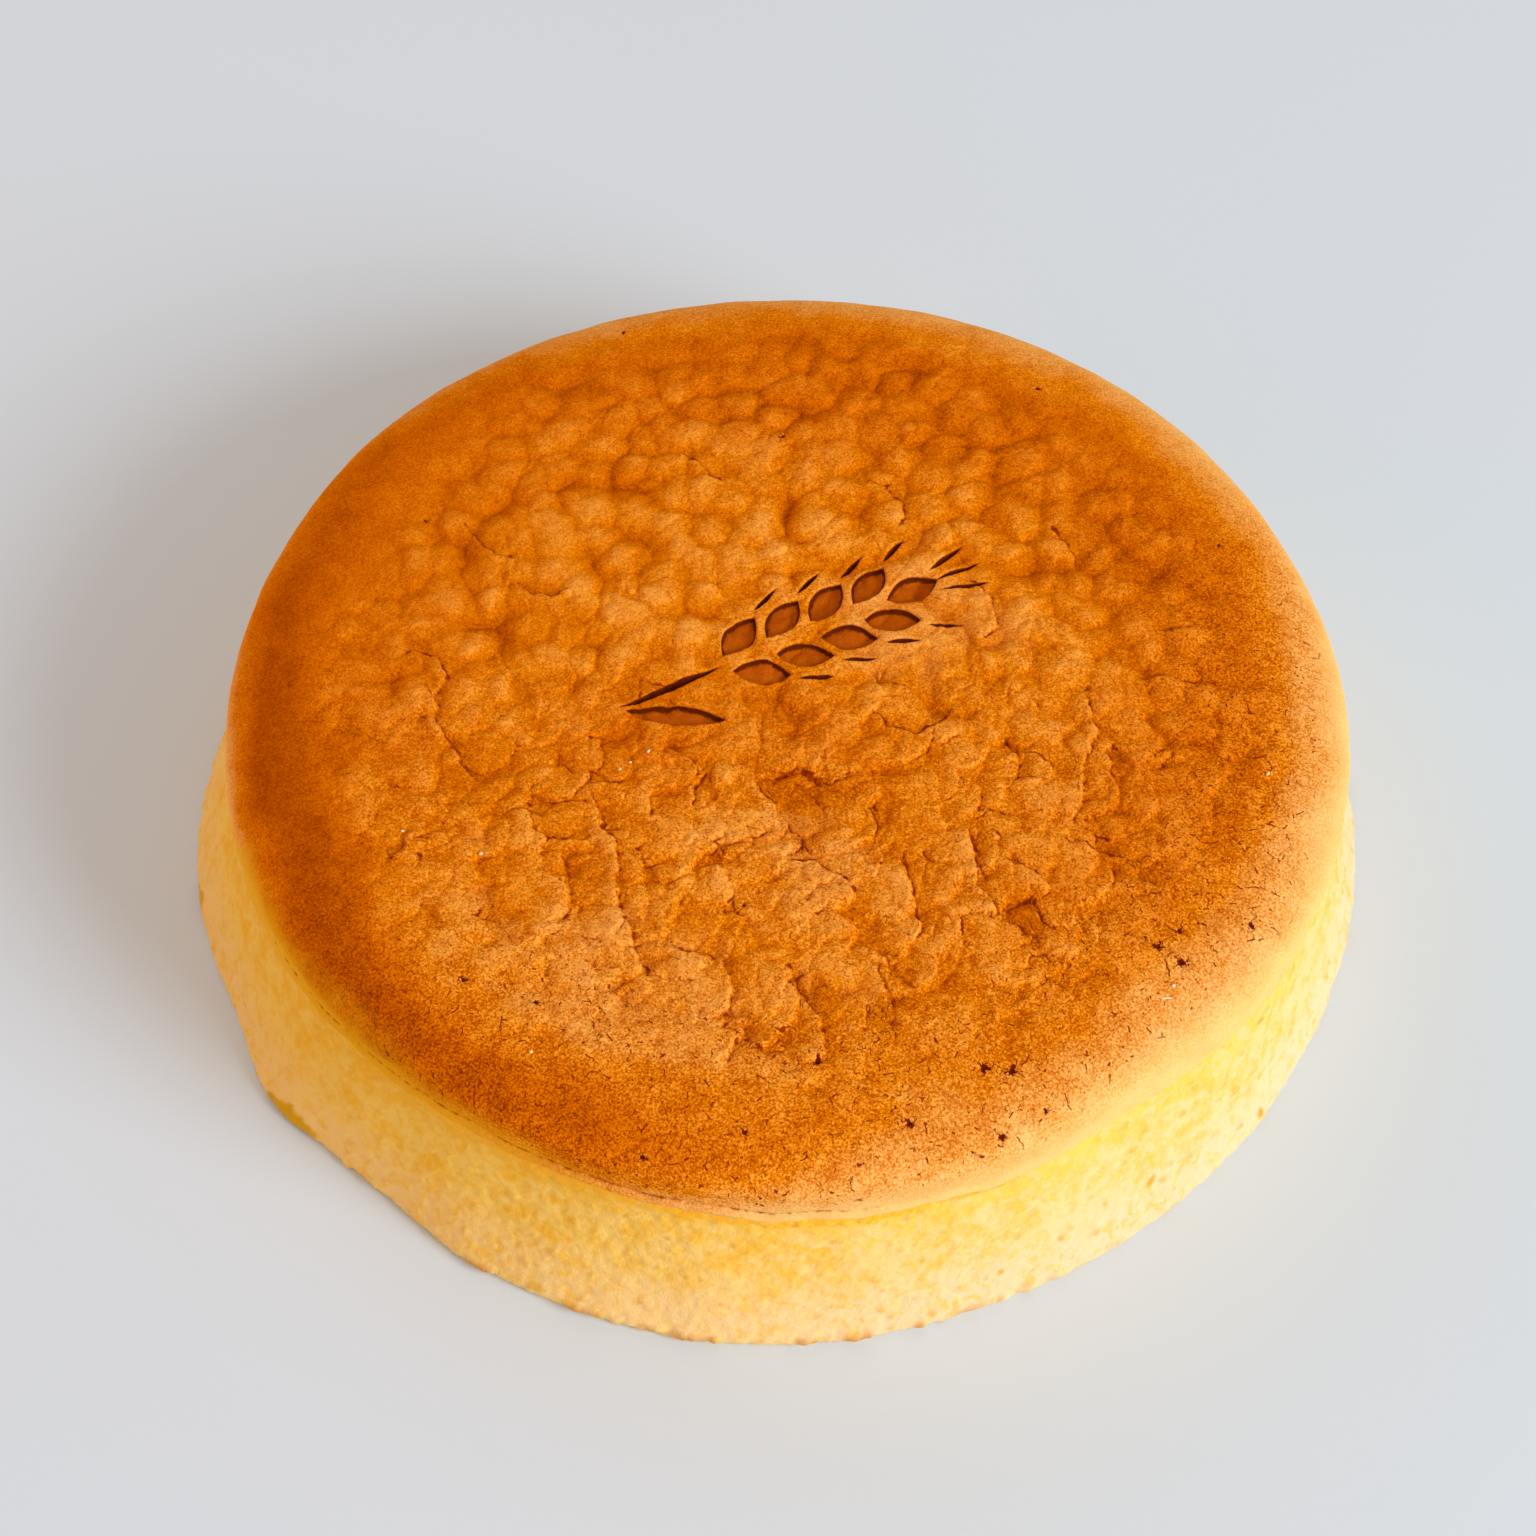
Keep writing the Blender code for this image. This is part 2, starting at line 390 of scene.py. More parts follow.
# the crust
crustLook = {
    "rings": 181,
    "fineRadius": 42.0,
    "fieldRows": 88,
    "fieldRadius": 76.0,
    "rimRows": 88,
    "underside": 33.0,
    # overlapping flakes: spacing, step and rounded edge in mm
    "plates": (12.0, 0.46, 1.1),
    "flakes": (6.6, 0.50, 0.75),
    "chips": (3.7, 0.30, 0.45),
    "scaleLean": -28.0,
    # swellings: spacing, radius of their curve and spread of their heights in mm
    "cobbles": (6.0, 9.5, 0.42),
    "puckers": (2.2, 8.0, 0.05),
    "depth": 1.5,
    # how the outlines of all these wander, then how ragged the flakes are: amount and size in mm
    "outlineWander": (1.6, 12.0),
    "outlineRagged": (0.26, 1.7),
    # where the cobbled field fades out, and the front's look fades in, in mm
    "fieldFade": (86.0, 66.0),
    "frontFade": (30.0, -35.0),
    "creaseDepth": 0.18,
    "pitDepth": 0.55,
    # mm round the lip for each radian, and the folded crease in it: degrees, mm up from the lip
    "lipRun": 92.0,
    "foldTurn": -136.0,
    "foldUp": 3.0,
    # where the shoulder is most finely cracked, in degrees
    "crazedTurn": -62.0,
    # stepped cracks: drop in mm, then the places that the edge passes
    "scarps": (
        (0.75, ((-33, -20), (-31, -26), (-27, -36), (-27, -45), (-23, -55), (-21, -61))),
        (0.50, ((-36, -33), (-35, -38), (-34, -46), (-36, -50))),
        (0.70, ((-20, -52), (-15, -54), (-10, -56), (-8, -60), (-9, -65), (-13, -67))),
        (0.70, ((-1, -54), (2, -59), (5, -65), (6, -71), (3, -75))),
        (0.45, ((13, -55), (15, -59), (17, -66))),
        (0.55, ((17, -35), (19, -39), (20, -43), (21, -50), (19, -53))),
        (0.45, ((29, -30), (30, -34), (32, -42))),
        (0.45, ((0, -36), (3, -36), (8, -39), (12, -43))),
        (0.45, ((-13, -19), (-15, -22), (-16, -27))),
        (0.55, ((50, 2), (49, -4), (50, -10), (48, -16), (47, -24), (44, -32))),
        (0.60, ((29, -29), (30, -33), (31, -42), (35, -49), (42, -53))),
        (0.50, ((34, -36), (38, -38), (42, -42))),
        (0.40, ((43, -32), (47, -33), (52, -35), (58, -37))),
        (0.60, ((-65, 3), (-62, 5), (-58, 4), (-56, 0), (-58, -4), (-57, -10), (-51, -20), (-48, -23))),
        (0.50, ((-79, -17), (-76, -19), (-73, -20), (-69, -18))),
        (0.55, ((-41, -22), (-41, -27), (-41, -31), (-35, -33), (-29, -33))),
        (0.45, ((-63, -38), (-61, -35), (-59, -30))),
        (0.50, ((-56, 34), (-53, 30), (-50, 26), (-45, 25))),
        (0.50, ((-46, 21), (-44, 18), (-40, 17), (-36, 18))),
        (0.40, ((13, -6), (16, -9), (21, -11), (26, -8), (28, -5))),
        (0.35, ((60, 10), (64, 11), (70, 12), (76, 11))),
        (0.35, ((56, 1), (62, 1), (67, 0), (73, 0))),
        (0.45, ((30, 22), (34, 18), (35, 12), (32, 8))),
        (0.40, ((12, 44), (17, 42), (20, 37), (18, 32))),
        (0.40, ((-20, 50), (-15, 47), (-11, 42))),
        (0.40, ((44, 34), (48, 30), (49, 24))),
    ),
    "toast": {
        # how far in from the lip the skin stays palest: degrees, mm
        "paleWidth": (
            (0, 7), (45, 6), (90, 5), (150, 3), (180, 5), (192, 8), (205, 4), (222, -3), (235, -4),
            (255, -4), (262, -1), (268, 1), (280, 1), (295, 3), (310, 5), (325, 7), (360, 7),
        ),
        # how far in the shoulder reaches its deepest brown: degrees, mm
        "ringWidth": (
            (0, 27), (30, 24), (60, 27), (90, 25), (120, 24), (150, 16), (180, 16), (200, 18),
            (215, 15), (230, 12), (250, 13), (265, 14), (280, 24), (295, 24), (310, 28), (325, 29),
            (340, 27), (360, 27),
        ),
        # how brown that ring is all round: degrees, part
        "ring": (
            (0, 0.72), (30, 0.77), (60, 0.76), (90, 0.70), (120, 0.73), (150, 0.84), (180, 1.05),
            (220, 1.05), (235, 0.94), (250, 0.88), (265, 0.64), (280, 0.54), (310, 0.58),
            (325, 0.66), (340, 0.70), (360, 0.72),
        ),
        # how brown the field is just inside the ring: degrees, part
        "inner": (
            (0, 0.69), (30, 0.72), (90, 0.68), (150, 0.66), (190, 0.68), (220, 0.50), (250, 0.42),
            (265, 0.46), (280, 0.50), (310, 0.61), (325, 0.68), (360, 0.69),
        ),
        # how far in the lip turned golden: degrees, mm
        "golden": (
            (0, -9), (182, -9), (192, 6), (200, 11), (210, 10), (220, 8), (230, 6), (240, 4),
            (250, 1), (262, -9), (360, -9),
        ),
        "middle": 0.54,
        # broad browner or paler places: x, y and radius in mm, amount
        "places": (
            (4, -33, 13, -0.15), (6, -13, 15, 0.16), (24, 12, 18, -0.12), (-24, -13, 12, 0.12),
            (8, 64, 24, 0.08),
        ),
    },
    # star-shaped pits: place and size in mm
    "pits": (
        (58.0, -52.4, 2.0), (61.4, -55.0, 1.9), (72.6, -47.0, 1.4), (30.2, -74.4, 1.9),
        (34.6, -74.8, 2.1), (18.8, -83.2, 1.8), (32.8, -84.5, 1.5), (39.7, -80.5, 1.2),
        (5.1, -72.9, 1.9), (-5.8, -84.9, 1.2), (-21.2, -88.6, 1.4), (-38.5, -64.3, 1.2),
        (-49.9, -59.8, 1.4), (-6.5, -45.2, 0.9), (-1.1, 53.8, 1.2), (61.4, -49.2, 1.2),
        (-62.0, 34.0, 0.9), (44.0, 66.0, 0.9), (-30.0, 80.0, 0.9), (74.0, 30.0, 0.9),
    ),
}


def scarpRelief(x, y):
    # long steps where the crust split and one side settled: the high side is on the right of the walk
    total = np.zeros_like(x)
    crease = np.zeros_like(x)
    wx = x + 0.7 * rough(x, y, 4.0, 301, 3, 0.6)
    wy = y + 0.7 * rough(x, y, 4.0, 311, 3, 0.6)
    for drop, points in crustLook["scarps"]:
        kept = (np.full(x.shape, farAway), np.zeros_like(x), np.zeros_like(x))
        count = len(points) - 1
        for number in range(count):
            ax, ay = points[number]
            dx = points[number + 1][0] - ax
            dy = points[number + 1][1] - ay
            length = math.hypot(dx, dy)
            along = np.clip(((wx - ax) * dx + (wy - ay) * dy) / length ** 2, 0.0, 1.0)
            away = np.hypot(wx - ax - along * dx, wy - ay - along * dy)
            left = np.sign((wx - ax) * -dy + (wy - ay) * dx)
            kept = nearer(away < kept[0], (away, left * away, (number + along) / count), kept)
        best, side, ends = kept
        strength = drop * smooth(0.0, 0.22, ends) * smooth(1.0, 0.78, ends)
        low = smooth(-0.40, 0.40, side)
        high = (1.0 - low) * 0.45 * np.exp(-best / 3.0)
        total += strength * (high - low * 0.75 * np.exp(-best / 3.2))
        crease = np.maximum(crease, smooth(0.0, 0.25, strength) * bell(side - 0.32, 0.32))
    return total, crease


def pitPlaces(x, y):
    # distance and offset to the nearest pit, in its own size, and that pit's number
    outside = np.full(x.shape, outOfReach)
    kept = (np.full(x.shape, farAway), outside, outside, np.zeros_like(x))
    line = np.array(crustLine())
    line = line[:np.argmax(line[:, 0]) + 1]
    run = runAlong(line)
    for number, (cx, cy, size) in enumerate(crustLook["pits"]):
        # places are given as seen from above, so they are laid out along the skin first
        radius = math.hypot(cx, cy)
        stretch = np.interp(radius, line[:, 0], run) / radius
        dx = (x - cx * stretch) / size
        dy = (y - cy * stretch) / size
        away = np.hypot(dx, dy)
        kept = nearer(away < kept[0], (away, dx, dy, float(number)), kept)
    return kept


def scales(x, y, size, step, round, seed):
    # round flakes of skin lying on each other: each rises to the right and ends in a rounded edge
    top = np.full(x.shape, -0.15 * step)
    lean = math.radians(crustLook["scaleLean"])
    rims = []
    for px, py, ix, iy in scattered(x, y, size, seed):
        wide, swing, thick = (chance(ix, iy, seed + k) for k in (2, 3, 4))
        reach = size * (0.55 + 0.45 * wide)
        turn = lean + 2.0 * (swing - 0.5)
        along = (px * np.cos(turn) + py * np.sin(turn)) / reach
        rim = step * (0.6 + 0.6 * thick) * (1.0 - (0.5 - 0.5 * np.clip(along, -1.0, 1.0)) ** 1.7)
        inside = reach - np.hypot(px, py)
        fall = np.clip(inside / round, 0.0, 1.0)
        fall = np.sqrt(fall * (2.0 - fall))
        lift = np.where(inside > 0.0, rim * fall - 0.25 * step * (1.0 - fall), -9.0)
        top = np.maximum(top, lift)
        rims.append((inside, rim))
    crease = np.zeros_like(x)
    for inside, rim in rims:
        foot = smooth(-0.50, -0.10, inside) * smooth(0.25, 0.0, inside)
        crease = np.maximum(crease, foot * smooth(0.20 * step, 0.60 * step, rim - top))
    return top - 0.55 * step, crease


def puffs(x, y, size, curve, spread, seed):
    # round swellings pressed against each other: the highest shows, so each border is a sharp groove
    top = np.full(x.shape, -9.0)
    below = np.full(x.shape, -9.0)
    for px, py, ix, iy in scattered(x, y, size, seed):
        wide, tall = (chance(ix, iy, seed + k) for k in (2, 3))
        bend = curve * (0.65 + 0.8 * wide)
        lift = spread * tall - (px * px + py * py) / (2.0 * bend)
        below = np.maximum(below, np.minimum(top, lift))
        top = np.maximum(top, lift)
    return top - 0.6 * spread + size * size / (9.0 * curve), top - below


def crustRelief(x, y, reach, angle, plan):
    # height of the relief over the smooth form, in mm, and the masks that the finish reads
    c = crustLook
    bend, bendSize = c["outlineWander"]
    wx = x + bend * rough(x, y, bendSize, 11, 3, 0.5)
    wy = y + bend * rough(x, y, bendSize, 21, 3, 0.5)
    ragged, raggedSize = c["outlineRagged"]
    raggedX = wx + ragged * rough(x, y, raggedSize, 13, 2, 0.65)
    raggedY = wy + ragged * rough(x, y, raggedSize, 23, 2, 0.65)
    field = smooth(*c["fieldFade"], reach + 5.0 * rough(x, y, 30.0, 31, 2))
    front = smooth(*c["frontFade"], y + 14.0 * rough(x, y, 34.0, 33, 2))

    plates, plateCrease = scales(raggedX, raggedY, *c["plates"], 41)
    flakes, flakeCrease = scales(raggedX, raggedY, *c["flakes"], 141)
    chips, chipCrease = scales(raggedX, raggedY, *c["chips"], 241)
    cobbles, cobbleGap = puffs(wx, wy, *c["cobbles"], 51)
    puckers, _ = puffs(raggedX, raggedY, *c["puckers"], 71)
    scarps, scarpCrease = scarpRelief(x, y)
    # flakes are strongest at the front, round cobbles at the back
    local = mix(0.45, 1.0, front) * (plates + flakes) + mix(0.4, 1.0, front) * chips
    local = local + mix(0.90, 0.18, front) * cobbles + puckers + 0.9 * scarps
    swell = 0.35 * rough(x, y, 38.0, 91, 2)
    grain = 0.03 * rough(x, y, 1.5, 95, 2, 0.6)
    left = smooth(-15.0, -60.0, x)
    local = local * c["depth"] * mix(1.0, 0.85, left) * mix(0.85, 1.0, front)
    height = field * local + swell * smooth(98.0, 80.0, reach) + grain
    height += (1.0 - field) * 0.14 * rough(x, y, 10.0, 97, 2)

    openness = smooth(-0.25, 0.25, rough(x, y, 9.0, 99, 2))
    # the crease mask, which the finish paints dark, runs at the feet of flake edges and scarps and
    # along the grooves between cobbles: partly real cracks, partly painted shade in the grooves
    plateCrease = mix(0.4, 0.9, front) * plateCrease
    flakeCrease = mix(0.2, 0.8, front) * flakeCrease
    crease = openness * np.maximum(plateCrease, flakeCrease)
    crease = np.maximum(crease, 0.55 * front * openness * chipCrease)
    crease = np.maximum(crease, 0.12 * bell(cobbleGap, 0.08))
    crease = np.maximum(crease, 0.8 * scarpCrease) * field
    height -= c["creaseDepth"] * crease

    pit, px, py, which = pitPlaces(x, y)
    height += 0.10 * bell(pit - 1.1, 0.5) - c["pitDepth"] * smooth(0.42, 0.05, pit)

    inside, burnt = markAt(*plan)
    pressed = smooth(-0.10, markDesign["wallWidth"], inside)
    around = bell(inside + 0.55, 0.45)
    floor = -markDesign["depth"] + 0.04 * rough(x, y, 1.2, 103, 2)
    calm = smooth(-3.0, -0.3, inside)
    height = mix(height, 0.35 * height, 0.6 * calm)
    floor = floor * np.where(burnt > 0.5, 0.75, 1.0)
    height = height + pressed * floor + 0.10 * around * (inside > -2.0)
    raised = np.clip(0.5 + 0.5 * local, 0.0, 1.0) * field + 0.5 * (1.0 - field)
    ring = smooth(50.0, 72.0, reach) * smooth(104.0, 96.0, reach)
    crazed = ring * smooth(-0.35, 0.6, facing(angle, c["crazedTurn"]))
    dry = 0.25 * smooth(-0.95, 0.0, np.cos(angle))
    crazed = dry + (1.0 - dry) * np.maximum(crazed, 0.55 * front * field)
    values = {
        "crazed": crazed, "crease": crease, "raised": raised, "pitX": px, "pitY": py, "pitTurn": which,
        "markIn": inside, "markBurnt": burnt,
    }
    return height, values


def toastMap(x, y, angle, fromLip):
    # 0 at the pale lip, 1 where the crust browned most; and where the lip turned golden
    t = crustLook["toast"]
    turn = np.degrees(np.remainder(angle, 2.0 * math.pi))
    names = ("paleWidth", "ringWidth", "ring", "inner", "golden")
    pale, wide, ring, inner, golden = (np.interp(turn, *zip(*t[name])) for name in names)
    stray = fromLip + 3.0 * rough(x, y, 20.0, 401, 2) * smooth(2.0, 20.0, fromLip)
    rise = np.clip((stray - pale) / (wide - pale), 0.0, 1.0) ** (0.8 + 0.4 * smooth(0.0, 6.0, pale))
    brown = mix(ring, inner, smooth(wide, wide + 15.0, stray))
    middle = t["middle"] + 0.06 * rough(x, y, 22.0, 403, 2)
    brown = mix(brown, middle, smooth(36.0, 62.0, stray)) + 0.05 * rough(x, y, 9.0, 407, 2)
    for px, py, size, amount in t["places"]:
        brown = brown + amount * np.exp(-((x - px) ** 2 + (y - py) ** 2) / size ** 2)
    fade = 3.0 + 4.0 * smooth(205.0, 225.0, turn)
    gold = smooth(golden + fade, golden - fade, stray + 1.2 * rough(x, y, 4.0, 409, 2))
    return brown * rise, gold


def buildCrust():
    c = crustLook
    line = crustLine()
    fineRows = np.linspace(0.0, c["fineRadius"], c["rings"] + 1)[1:]
    run = runAlong(line)[-1]
    fieldRows = np.linspace(c["fineRadius"], c["fieldRadius"], c["fieldRows"] + 1)[1:]
    rimRows = np.linspace(c["fieldRadius"], run, c["rimRows"] + 1)[1:]
    rows = np.concatenate([fineRows, fieldRows, rimRows])
    growingCounts = sectors * np.arange(1, c["rings"] + 1)
    counts = np.concatenate([growingCounts, np.full(c["fieldRows"] + c["rimRows"], growingCounts[-1])])
    radius, height, nr, nz = walk(line, rows)
    nr[:c["rings"]] = 0.0
    nz[:c["rings"]] = 1.0

    starts = 1 + np.concatenate([[0], np.cumsum(counts)])
    angle = np.concatenate([2.0 * math.pi * np.arange(n) / n for n in counts])
    row = np.repeat(np.arange(len(counts)), counts)
    angle = np.concatenate([[0.0], angle])
    reach = np.concatenate([[0.0], rows[row]])
    radius = np.concatenate([[0.0], radius[row]])
    height = np.concatenate([[height[0]], height[row]])
    nr = np.concatenate([[0.0], nr[row]])
    nz = np.concatenate([[1.0], nz[row]])

    uneven = outline(angle, np.zeros_like(angle)) * np.minimum(1.0, radius / form["crustRadius"])
    x = reach * np.cos(angle)
    y = reach * np.sin(angle)
    wide = radius + uneven
    plan = (wide * np.cos(angle), wide * np.sin(angle))
    relief, values = crustRelief(x, y, reach, angle, plan)
    tucked = smooth(run - 1.0, run - 4.5, reach)
    lipWave = 0.45 * wander(c["lipRun"] * angle, 14.0, 131, 3) + 0.20 * rough(x, y, 3.0, 133, 2)
    relief = relief * tucked + lipWave * smooth(run - 10.0, run - 3.0, reach) * 0.6
    fromLip = run - 2.6 - reach
    folded = smooth(0.25, 0.75, facing(angle, c["foldTurn"]))
    fold = fromLip - c["foldUp"] - 0.8 * wander(c["lipRun"] * angle, 11.0, 137, 3)
    groove = bell(fold, 0.5)
    relief = relief + folded * (0.60 * bell(fold + 1.4, 0.8) - 0.25 * groove)
    # painted shade: the fold's groove takes the dark crease colour
    values["crease"] = np.maximum(values["crease"], 0.60 * folded * groove)
    wide = wide + relief * nr
    points = np.stack([wide * np.cos(angle), wide * np.sin(angle), height + relief * nz], 1)

    rings = [np.arange(starts[k], starts[k + 1]) for k in range(len(counts))]
    fine = [np.stack([np.zeros(sectors, int), rings[0], np.roll(rings[0], -1)], 1)]
    fine += [growing(rings[k], rings[k + 1]) for k in range(c["rings"] - 1)]
    fieldStart = c["rings"] - 1
    rimStart = fieldStart + c["fieldRows"]
    field = [strip(rings[k + 1], rings[k]) for k in range(fieldStart, rimStart)]
    rim = [strip(rings[k + 1], rings[k]) for k in range(rimStart, len(counts) - 1)]
    parts = [np.concatenate(fine), np.concatenate(field), np.concatenate(rim)]
    normals = pointNormals(points, np.concatenate(parts))
    values["toast"], values["gold"] = toastMap(x, y, angle, fromLip)
    edges = [rings[fieldStart], rings[rimStart], rings[-1]]
    pieces = []
    for number, name in enumerate(("crustMiddle", "crustField", "crustRim")):
        bounds = edges[max(0, number - 1):number + 1]
        pieces.append(cutOut(name, points, parts[number], normals, values, bounds))
    return pieces


def cutOut(name, points, triangles, normals, values, edges):
    # one closed piece of the crust: its skin, a wall down from each edge, and a flat underside
    used = np.unique(triangles)
    index = np.full(len(points), -1)
    index[used] = np.arange(len(used))
    faces = [index[triangles]]
    total = len(used)
    feet = []
    extraPoints = []
    for edge in edges:
        ring = index[edge]
        foot = points[edge].copy()
        foot[:, 2] = np.minimum(foot[:, 2], crustLook["underside"])
        # the tucked-in lip is below the underside already, so it needs no wall
        if (foot[:, 2] < points[edge, 2]).any():
            low = np.arange(total, total + len(edge))
            faces.append(strip(low, ring) if edge is edges[-1] else strip(ring, low))
            extraPoints.append(foot)
            total += len(edge)
            ring = low
        feet.append(ring)
    if len(edges) == 2:
        faces.append(strip(feet[0], feet[1]))
    else:
        extraPoints.append(np.array([[0.0, 0.0, crustLook["underside"]]]))
        ring = feet[0]
        faces.append(np.stack([np.full(len(ring), total), np.roll(ring, -1), ring], 1))
    allPoints = np.concatenate([points[used]] + extraPoints)
    extra = len(allPoints) - len(used)
    allNormals = np.concatenate([normals[used], np.tile([0.0, 0.0, -1.0], (extra, 1))])
    allValues = {}
    for key, value in values.items():
        allValues[key] = np.concatenate([value[used], np.zeros(extra)])
    return makeMesh(name, allPoints, np.concatenate(faces), allNormals, allValues)


# the sponge
spongeLook = {
    "around": 1400,
    "rows": 66,
    # mm round the side, and round the foot, for each radian
    "sideRun": 96.0,
    "footRun": 97.0,
    "lumps": 0.32,
    "crumb": 0.19,
    "poreSize": 2.3,
    "poreDepth": 0.38,
    # the turns, in degrees, at which the sponge is painted warmest, as painted shade away from the
    # lamp, and painted sunniest, as painted light facing the lamp
    "warmTurn": 190.0,
    "sunnyTurn": -32.0,
    # the moist orange line under the lip: mm down the section, then degrees and height in mm
    "lineStart": 4.9,
    "moistLine": (
        (-180, 0.15), (-150, 0.35), (-129, 0.60), (-124, 1.5), (-114, 2.2), (-109, 1.5), (-98, 1.3),
        (-88, 1.3), (-79, 1.1), (-72, 0.5), (-62, 0.0), (70, 0.0), (180, 0.15),
    ),
    # where the foot is torn: degrees, how much
    "ragged": (
        (-180, 0.12), (-150, 0.12), (-128, 0.22), (-115, 0.6), (-105, 0.7), (-82, 0.55), (-70, 0.3),
        (-40, 0.15), (90, 0.4), (180, 0.12),
    ),
    # syrupy and toasted spots: degrees, height, half length and half height in mm, depth of colour
    "stains": (
        (-142.5, 0.8, 6.5, 3.0, 1.0), (-169.5, 0.8, 3.5, 2.2, 0.9), (-37.1, 3.2, 0.9, 0.9, 0.9),
        (-51.7, 8.7, 1.1, 0.9, 0.8), (-34.8, 21.5, 0.9, 0.9, 0.7), (-68.8, 7.1, 0.7, 0.6, 0.7),
        (-112.0, 2.6, 1.6, 0.7, 0.5), (35.0, 12.0, 1.0, 0.8, 0.7), (120.0, 6.0, 1.2, 0.8, 0.7),
        (148.0, 16.0, 0.9, 0.8, 0.6), (78.0, 3.0, 3.0, 1.1, 0.6),
    ),
}


def byTurn(angle, table):
    # a value read from a table of degrees, all round
    return np.interp(np.degrees(np.remainder(angle + math.pi, 2.0 * math.pi)) - 180.0, *zip(*table))


def spongeRelief(x, down, height, angle):
    # how far the side stands out, in mm, and the masks that the finish reads
    s = spongeLook
    stray = 0.35 * rough(x, down, 1.6, 207, 2)
    lumps = s["lumps"] * rough(x, down, 16.0, 201, 3)
    crumb = s["crumb"] * rough(x, 1.25 * down, 2.4, 205, 3, 0.65)
    away, cellX, cellY = nearestCell(0.7 * x + stray, down + stray, s["poreSize"], 211)
    size = 0.35 + 0.85 * chance(cellX, cellY, 213)
    open = smooth(0.48, 0.90, chance(cellX, cellY, 214))
    open = open * smooth(size, 0.35 * size, away + 2.0 * np.abs(stray))

    torn = byTurn(angle, s["ragged"])
    low = smooth(4.5, 0.6, height)
    bite = rough(x, 0.6 * down, 6.5, 221, 4, 0.62)
    edge = torn * low * (1.1 * bite * smooth(-0.6, 0.5, wander(x, 17.0, 222)) - 0.15)
    notchAt = 1.7 + 0.7 * wander(x, 9.0, 223)
    notch = bell(height - notchAt, 0.50) * smooth(0.10, 0.45, torn)
    notch = notch * smooth(-0.10, 0.30, wander(x, 6.0, 225, 3))

    line = byTurn(angle, s["moistLine"])
    lineEnd = s["lineStart"] + line * (1.15 + 0.7 * wander(x, 5.0, 227, 3))
    lineEnd = lineEnd + 0.25 * rough(x, down, 1.2, 229, 2)
    moist = smooth(lineEnd + 0.30, lineEnd - 0.15, down) * smooth(0.02, 0.30, line)

    stain = np.zeros_like(x)
    for turn, high, long, tall, depth in s["stains"]:
        side = turnFrom(angle, turn)
        reach = np.hypot(side * s["footRun"] / long, (height - high) / tall)
        reach = reach + 0.25 * rough(x, down, 2.2, 231, 2)
        stain = np.maximum(stain, depth * smooth(1.10, 0.80, reach))
    relief = lumps + crumb - s["poreDepth"] * open + edge - 0.55 * notch - 0.30 * moist - 0.10 * stain
    # painted shade: marks the side away from the lamp, which the finish paints a deeper, warmer gold
    warm = smooth(-0.35, 0.95, facing(angle, s["warmTurn"]))
    # painted light: marks the side facing the lamp, which the finish paints a brighter yellow
    sunny = smooth(0.1, 0.95, facing(angle, s["sunnyTurn"]))
    masks = {
        "down": down, "pore": open, "moist": moist, "stain": stain, "notch": notch,
        "warm": warm, "sunny": sunny,
    }
    return relief, masks


def buildSponge():
    s = spongeLook
    line = spongeLine()
    places = np.linspace(0.0, runAlong(line)[-1], s["rows"])
    radius, height, nr, nz = walk(line, places)
    nr, nz = -nr, -nz
    count = s["around"]
    angle = np.tile(2.0 * math.pi * np.arange(count) / count, s["rows"])
    row = np.repeat(np.arange(s["rows"]), count)
    down = places[row]
    foot = np.clip(1.0 - height[row] / form["neckHeight"], 0.0, 1.0)
    relief, masks = spongeRelief(angle * s["sideRun"], down, height[row], angle)
    relief = relief * smooth(0.5, 3.5, down) * smooth(-0.2, 0.8, height[row])
    wide = radius[row] + outline(angle, foot) + relief * nr[row]
    px = wide * np.cos(angle) + form["slump"][0] * foot
    py = wide * np.sin(angle) + form["slump"][1] * foot
    pz = np.maximum(height[row] + relief * nz[row], 0.0)
    pz[row == s["rows"] - 1] = 0.0
    points = np.stack([px, py, pz], 1)
    rings = [np.arange(k * count, (k + 1) * count) for k in range(s["rows"])]
    faces = [strip(rings[k + 1], rings[k]) for k in range(s["rows"] - 1)]
    middle = len(points)
    points = np.concatenate([points, [[0.0, 0.0, points[0, 2]], [0.0, 0.0, 0.0]]])
    top = rings[0]
    low = rings[-1]
    faces.append(np.stack([np.full(count, middle), top, np.roll(top, -1)], 1))
    faces.append(np.stack([np.full(count, middle + 1), np.roll(low, -1), low], 1))
    masks = {key: np.concatenate([value, [0.0, 0.0]]) for key, value in masks.items()}
    return makeMesh("spongeSide", points, np.concatenate(faces), None, masks)


# loose crumbs on the crust
crumbLook = {
    "around": 12,
    "rows": 7,
    "bumps": 0.45,
    "brown": (0.90, 0.66, 0.33),
    "pale": (0.97, 0.88, 0.62),
    "roughness": 0.8,
    # place, length, width in mm and turn in degrees
    "crumbs": (
        (-48.3, -36.1, 0.7, 0.5, 20), (-38.5, -71.9, 0.6, 0.5, 70), (58.7, -61.1, 2.1, 0.30, 4),
        (-25.3, -17.9, 0.5, 0.4, 0), (-26.9, -19.3, 0.5, 0.4, 40), (77.8, -18.5, 0.7, 0.5, 30),
        (-22.4, -15.9, 0.8, 0.4, 50), (-61.1, -31.5, 0.6, 0.4, 0), (59.9, -59.0, 0.6, 0.5, 15),
    ),
}


